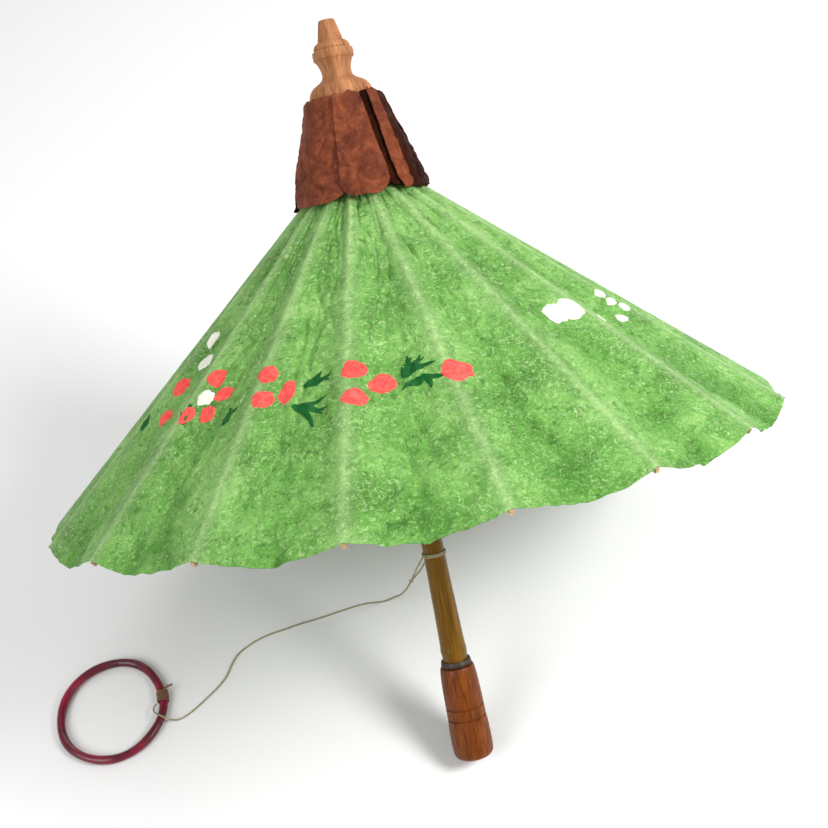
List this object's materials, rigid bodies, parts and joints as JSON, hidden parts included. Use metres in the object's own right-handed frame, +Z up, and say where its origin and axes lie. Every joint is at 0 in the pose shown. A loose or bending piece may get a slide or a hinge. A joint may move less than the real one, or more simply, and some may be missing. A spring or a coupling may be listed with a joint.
{
  "type": "oil paper parasol",
  "caption": "Open oil paper parasol with folding bamboo ribs and stretchers, sliding runner, paper cap, turned finial and handle, and a ring on a cord.",
  "frame": {"origin": "on the floor, under the middle of the bounding box of the parasol, its loose cord and ring left out", "axes": "+Z up from the floor; the shaft leans in the YZ plane, its finial toward +Y and its handle toward -Y; X runs across the canopy, the ring at -X"},
  "size_m": [0.5421, 0.3754, 0.3775],
  "materials": {
    "shaft_bamboo": "glossy varnished olive-brown bamboo",
    "handle_wood": "turned, satin red-brown wood",
    "collar": "dark, matt",
    "finial_wood": "turned, satin pale orange-tan wood",
    "hub_wood": "cut wood, matt",
    "rib_bamboo": "split bamboo, matt",
    "stretcher_bamboo": "split bamboo, matt",
    "cap_paper": "stiff crinkled brown oiled paper",
    "canopy_paper": "translucent green oiled fibrous paper with painted flowers",
    "thread": "twisted thread",
    "twine": "olive-beige twine",
    "ring_lacquer": "crimson lacquer over cane",
    "catch_steel": "spring strip"
  },
  "bodies": {
    "shaft": {"shaft": "shaft_bamboo", "handle": "handle_wood", "collar": "collar", "finial": "finial_wood", "head": "hub_wood", "head_thread": "thread", "catch_spring": "catch_steel", "canopy": "canopy_paper", "cap_flap_1": "cap_paper", "cap_flap_2": "cap_paper", "cap_flap_3": "cap_paper", "cap_flap_4": "cap_paper", "cap_flap_5": "cap_paper", "cap_flap_6": "cap_paper", "cap_flap_7": "cap_paper", "cap_flap_8": "cap_paper", "cord_tie": "twine", "cord": "twine", "ring": "ring_lacquer", "ring_lashing": "twine"},
    "runner": {"runner": "hub_wood", "runner_thread": "thread"},
    "rib_01": {"rib_01": "rib_bamboo"},
    "stretcher_01": {"stretcher_01": "stretcher_bamboo"},
    "rib_02": {"rib_02": "rib_bamboo"},
    "stretcher_02": {"stretcher_02": "stretcher_bamboo"},
    "rib_03": {"rib_03": "rib_bamboo"},
    "stretcher_03": {"stretcher_03": "stretcher_bamboo"},
    "rib_04": {"rib_04": "rib_bamboo"},
    "stretcher_04": {"stretcher_04": "stretcher_bamboo"},
    "rib_05": {"rib_05": "rib_bamboo"},
    "stretcher_05": {"stretcher_05": "stretcher_bamboo"},
    "rib_06": {"rib_06": "rib_bamboo"},
    "stretcher_06": {"stretcher_06": "stretcher_bamboo"},
    "rib_07": {"rib_07": "rib_bamboo"},
    "stretcher_07": {"stretcher_07": "stretcher_bamboo"},
    "rib_08": {"rib_08": "rib_bamboo"},
    "stretcher_08": {"stretcher_08": "stretcher_bamboo"},
    "rib_09": {"rib_09": "rib_bamboo"},
    "stretcher_09": {"stretcher_09": "stretcher_bamboo"},
    "rib_10": {"rib_10": "rib_bamboo"},
    "stretcher_10": {"stretcher_10": "stretcher_bamboo"},
    "rib_11": {"rib_11": "rib_bamboo"},
    "stretcher_11": {"stretcher_11": "stretcher_bamboo"},
    "rib_12": {"rib_12": "rib_bamboo"},
    "stretcher_12": {"stretcher_12": "stretcher_bamboo"},
    "rib_13": {"rib_13": "rib_bamboo"},
    "stretcher_13": {"stretcher_13": "stretcher_bamboo"},
    "rib_14": {"rib_14": "rib_bamboo"},
    "stretcher_14": {"stretcher_14": "stretcher_bamboo"},
    "rib_15": {"rib_15": "rib_bamboo"},
    "stretcher_15": {"stretcher_15": "stretcher_bamboo"},
    "rib_16": {"rib_16": "rib_bamboo"},
    "stretcher_16": {"stretcher_16": "stretcher_bamboo"},
    "rib_17": {"rib_17": "rib_bamboo"},
    "stretcher_17": {"stretcher_17": "stretcher_bamboo"},
    "rib_18": {"rib_18": "rib_bamboo"},
    "stretcher_18": {"stretcher_18": "stretcher_bamboo"}
  },
  "joints": [
    {"name": "fold", "type": "hinge", "parent": "shaft", "child": "rib_01", "pos_m": [-0.00243, 0.12375, 0.29017], "axis": [-0.9848, -0.1259, 0.1195], "range_deg": [0, 47], "deforming": ["canopy", "catch_spring"]},
    {"name": "stretcher_pivot_01", "type": "hinge", "parent": "rib_01", "child": "stretcher_01", "pos_m": [-0.01722, 0.13451, 0.17967], "axis": [-0.9848, -0.1259, 0.1195], "range_deg": [-94, 0]},
    {"name": "runner_pivot", "type": "hinge", "parent": "stretcher_01", "child": "runner", "pos_m": [-0.00243, 0.0236, 0.18466], "axis": [-0.9848, -0.1259, 0.1195], "range_deg": [0, 47]},
    {"name": "rib_hinge_02", "type": "hinge", "parent": "shaft", "child": "rib_02", "pos_m": [-0.007, 0.12255, 0.29131], "axis": [-0.866, -0.3626, 0.3442], "range_deg": [0, 47]},
    {"name": "stretcher_pivot_02", "type": "hinge", "parent": "rib_02", "child": "stretcher_02", "pos_m": [-0.04958, 0.12596, 0.18778], "axis": [-0.866, -0.3626, 0.3442], "range_deg": [-94, 0]},
    {"name": "rib_hinge_03", "type": "hinge", "parent": "shaft", "child": "rib_03", "pos_m": [-0.01073, 0.12028, 0.29346], "axis": [-0.6428, -0.5556, 0.5274], "range_deg": [0, 47]},
    {"name": "stretcher_pivot_03", "type": "hinge", "parent": "rib_03", "child": "stretcher_03", "pos_m": [-0.07597, 0.10991, 0.20302], "axis": [-0.6428, -0.5556, 0.5274], "range_deg": [-94, 0]},
    {"name": "rib_hinge_04", "type": "hinge", "parent": "shaft", "child": "rib_04", "pos_m": [-0.01316, 0.11723, 0.29636], "axis": [-0.342, -0.6815, 0.6469], "range_deg": [0, 47]},
    {"name": "stretcher_pivot_04", "type": "hinge", "parent": "rib_04", "child": "stretcher_04", "pos_m": [-0.09319, 0.08828, 0.22355], "axis": [-0.342, -0.6815, 0.6469], "range_deg": [-94, 0]},
    {"name": "rib_hinge_05", "type": "hinge", "parent": "shaft", "child": "rib_05", "pos_m": [-0.014, 0.11375, 0.29966], "axis": [0, -0.7253, 0.6885], "range_deg": [0, 47]},
    {"name": "stretcher_pivot_05", "type": "hinge", "parent": "rib_05", "child": "stretcher_05", "pos_m": [-0.09917, 0.06368, 0.2469], "axis": [0, -0.7253, 0.6885], "range_deg": [-94, 0]},
    {"name": "rib_hinge_06", "type": "hinge", "parent": "shaft", "child": "rib_06", "pos_m": [-0.01316, 0.11028, 0.30295], "axis": [0.342, -0.6815, 0.6469], "range_deg": [0, 47]},
    {"name": "stretcher_pivot_06", "type": "hinge", "parent": "rib_06", "child": "stretcher_06", "pos_m": [-0.09319, 0.03908, 0.27025], "axis": [0.342, -0.6815, 0.6469], "range_deg": [-94, 0]},
    {"name": "rib_hinge_07", "type": "hinge", "parent": "shaft", "child": "rib_07", "pos_m": [-0.01073, 0.10723, 0.30585], "axis": [0.6428, -0.5556, 0.5274], "range_deg": [0, 47]},
    {"name": "stretcher_pivot_07", "type": "hinge", "parent": "rib_07", "child": "stretcher_07", "pos_m": [-0.07597, 0.01745, 0.29079], "axis": [0.6428, -0.5556, 0.5274], "range_deg": [-94, 0]},
    {"name": "rib_hinge_08", "type": "hinge", "parent": "shaft", "child": "rib_08", "pos_m": [-0.007, 0.10496, 0.308], "axis": [0.866, -0.3626, 0.3442], "range_deg": [0, 47]},
    {"name": "stretcher_pivot_08", "type": "hinge", "parent": "rib_08", "child": "stretcher_08", "pos_m": [-0.04958, 0.00139, 0.30603], "axis": [0.866, -0.3626, 0.3442], "range_deg": [-94, 0]},
    {"name": "rib_hinge_09", "type": "hinge", "parent": "shaft", "child": "rib_09", "pos_m": [-0.00243, 0.10376, 0.30915], "axis": [0.9848, -0.1259, 0.1195], "range_deg": [0, 47]},
    {"name": "stretcher_pivot_09", "type": "hinge", "parent": "rib_09", "child": "stretcher_09", "pos_m": [-0.01722, -0.00715, 0.31414], "axis": [0.9848, -0.1259, 0.1195], "range_deg": [-94, 0]},
    {"name": "rib_hinge_10", "type": "hinge", "parent": "shaft", "child": "rib_10", "pos_m": [0.00243, 0.10376, 0.30915], "axis": [0.9848, 0.1259, -0.1195], "range_deg": [0, 47]},
    {"name": "stretcher_pivot_10", "type": "hinge", "parent": "rib_10", "child": "stretcher_10", "pos_m": [0.01722, -0.00715, 0.31414], "axis": [0.9848, 0.1259, -0.1195], "range_deg": [-94, 0]},
    {"name": "rib_hinge_11", "type": "hinge", "parent": "shaft", "child": "rib_11", "pos_m": [0.007, 0.10496, 0.308], "axis": [0.866, 0.3626, -0.3442], "range_deg": [0, 47]},
    {"name": "stretcher_pivot_11", "type": "hinge", "parent": "rib_11", "child": "stretcher_11", "pos_m": [0.04958, 0.00139, 0.30603], "axis": [0.866, 0.3626, -0.3442], "range_deg": [-94, 0]},
    {"name": "rib_hinge_12", "type": "hinge", "parent": "shaft", "child": "rib_12", "pos_m": [0.01073, 0.10723, 0.30585], "axis": [0.6428, 0.5556, -0.5274], "range_deg": [0, 47]},
    {"name": "stretcher_pivot_12", "type": "hinge", "parent": "rib_12", "child": "stretcher_12", "pos_m": [0.07597, 0.01745, 0.29079], "axis": [0.6428, 0.5556, -0.5274], "range_deg": [-94, 0]},
    {"name": "rib_hinge_13", "type": "hinge", "parent": "shaft", "child": "rib_13", "pos_m": [0.01316, 0.11028, 0.30295], "axis": [0.342, 0.6815, -0.6469], "range_deg": [0, 47]},
    {"name": "stretcher_pivot_13", "type": "hinge", "parent": "rib_13", "child": "stretcher_13", "pos_m": [0.09319, 0.03908, 0.27025], "axis": [0.342, 0.6815, -0.6469], "range_deg": [-94, 0]},
    {"name": "rib_hinge_14", "type": "hinge", "parent": "shaft", "child": "rib_14", "pos_m": [0.014, 0.11375, 0.29966], "axis": [0, 0.7253, -0.6885], "range_deg": [0, 47]},
    {"name": "stretcher_pivot_14", "type": "hinge", "parent": "rib_14", "child": "stretcher_14", "pos_m": [0.09917, 0.06368, 0.2469], "axis": [0, 0.7253, -0.6885], "range_deg": [-94, 0]},
    {"name": "rib_hinge_15", "type": "hinge", "parent": "shaft", "child": "rib_15", "pos_m": [0.01316, 0.11723, 0.29636], "axis": [-0.342, 0.6815, -0.6469], "range_deg": [0, 47]},
    {"name": "stretcher_pivot_15", "type": "hinge", "parent": "rib_15", "child": "stretcher_15", "pos_m": [0.09319, 0.08828, 0.22355], "axis": [-0.342, 0.6815, -0.6469], "range_deg": [-94, 0]},
    {"name": "rib_hinge_16", "type": "hinge", "parent": "shaft", "child": "rib_16", "pos_m": [0.01073, 0.12028, 0.29346], "axis": [-0.6428, 0.5556, -0.5274], "range_deg": [0, 47]},
    {"name": "stretcher_pivot_16", "type": "hinge", "parent": "rib_16", "child": "stretcher_16", "pos_m": [0.07597, 0.10991, 0.20302], "axis": [-0.6428, 0.5556, -0.5274], "range_deg": [-94, 0]},
    {"name": "rib_hinge_17", "type": "hinge", "parent": "shaft", "child": "rib_17", "pos_m": [0.007, 0.12255, 0.29131], "axis": [-0.866, 0.3626, -0.3442], "range_deg": [0, 47]},
    {"name": "stretcher_pivot_17", "type": "hinge", "parent": "rib_17", "child": "stretcher_17", "pos_m": [0.04958, 0.12596, 0.18778], "axis": [-0.866, 0.3626, -0.3442], "range_deg": [-94, 0]},
    {"name": "rib_hinge_18", "type": "hinge", "parent": "shaft", "child": "rib_18", "pos_m": [0.00243, 0.12375, 0.29017], "axis": [-0.9848, 0.1259, -0.1195], "range_deg": [0, 47]},
    {"name": "stretcher_pivot_18", "type": "hinge", "parent": "rib_18", "child": "stretcher_18", "pos_m": [0.01722, 0.13451, 0.17967], "axis": [-0.9848, 0.1259, -0.1195], "range_deg": [-94, 0]}
  ],
  "couplings": [
    {"joint": "stretcher_pivot_01", "follows": "fold", "ratio": -2},
    {"joint": "runner_pivot", "follows": "fold", "ratio": 1},
    {"joint": "rib_hinge_02", "follows": "fold", "ratio": 1},
    {"joint": "stretcher_pivot_02", "follows": "fold", "ratio": -2},
    {"joint": "rib_hinge_03", "follows": "fold", "ratio": 1},
    {"joint": "stretcher_pivot_03", "follows": "fold", "ratio": -2},
    {"joint": "rib_hinge_04", "follows": "fold", "ratio": 1},
    {"joint": "stretcher_pivot_04", "follows": "fold", "ratio": -2},
    {"joint": "rib_hinge_05", "follows": "fold", "ratio": 1},
    {"joint": "stretcher_pivot_05", "follows": "fold", "ratio": -2},
    {"joint": "rib_hinge_06", "follows": "fold", "ratio": 1},
    {"joint": "stretcher_pivot_06", "follows": "fold", "ratio": -2},
    {"joint": "rib_hinge_07", "follows": "fold", "ratio": 1},
    {"joint": "stretcher_pivot_07", "follows": "fold", "ratio": -2},
    {"joint": "rib_hinge_08", "follows": "fold", "ratio": 1},
    {"joint": "stretcher_pivot_08", "follows": "fold", "ratio": -2},
    {"joint": "rib_hinge_09", "follows": "fold", "ratio": 1},
    {"joint": "stretcher_pivot_09", "follows": "fold", "ratio": -2},
    {"joint": "rib_hinge_10", "follows": "fold", "ratio": 1},
    {"joint": "stretcher_pivot_10", "follows": "fold", "ratio": -2},
    {"joint": "rib_hinge_11", "follows": "fold", "ratio": 1},
    {"joint": "stretcher_pivot_11", "follows": "fold", "ratio": -2},
    {"joint": "rib_hinge_12", "follows": "fold", "ratio": 1},
    {"joint": "stretcher_pivot_12", "follows": "fold", "ratio": -2},
    {"joint": "rib_hinge_13", "follows": "fold", "ratio": 1},
    {"joint": "stretcher_pivot_13", "follows": "fold", "ratio": -2},
    {"joint": "rib_hinge_14", "follows": "fold", "ratio": 1},
    {"joint": "stretcher_pivot_14", "follows": "fold", "ratio": -2},
    {"joint": "rib_hinge_15", "follows": "fold", "ratio": 1},
    {"joint": "stretcher_pivot_15", "follows": "fold", "ratio": -2},
    {"joint": "rib_hinge_16", "follows": "fold", "ratio": 1},
    {"joint": "stretcher_pivot_16", "follows": "fold", "ratio": -2},
    {"joint": "rib_hinge_17", "follows": "fold", "ratio": 1},
    {"joint": "stretcher_pivot_17", "follows": "fold", "ratio": -2},
    {"joint": "rib_hinge_18", "follows": "fold", "ratio": 1},
    {"joint": "stretcher_pivot_18", "follows": "fold", "ratio": -2}
  ]
}
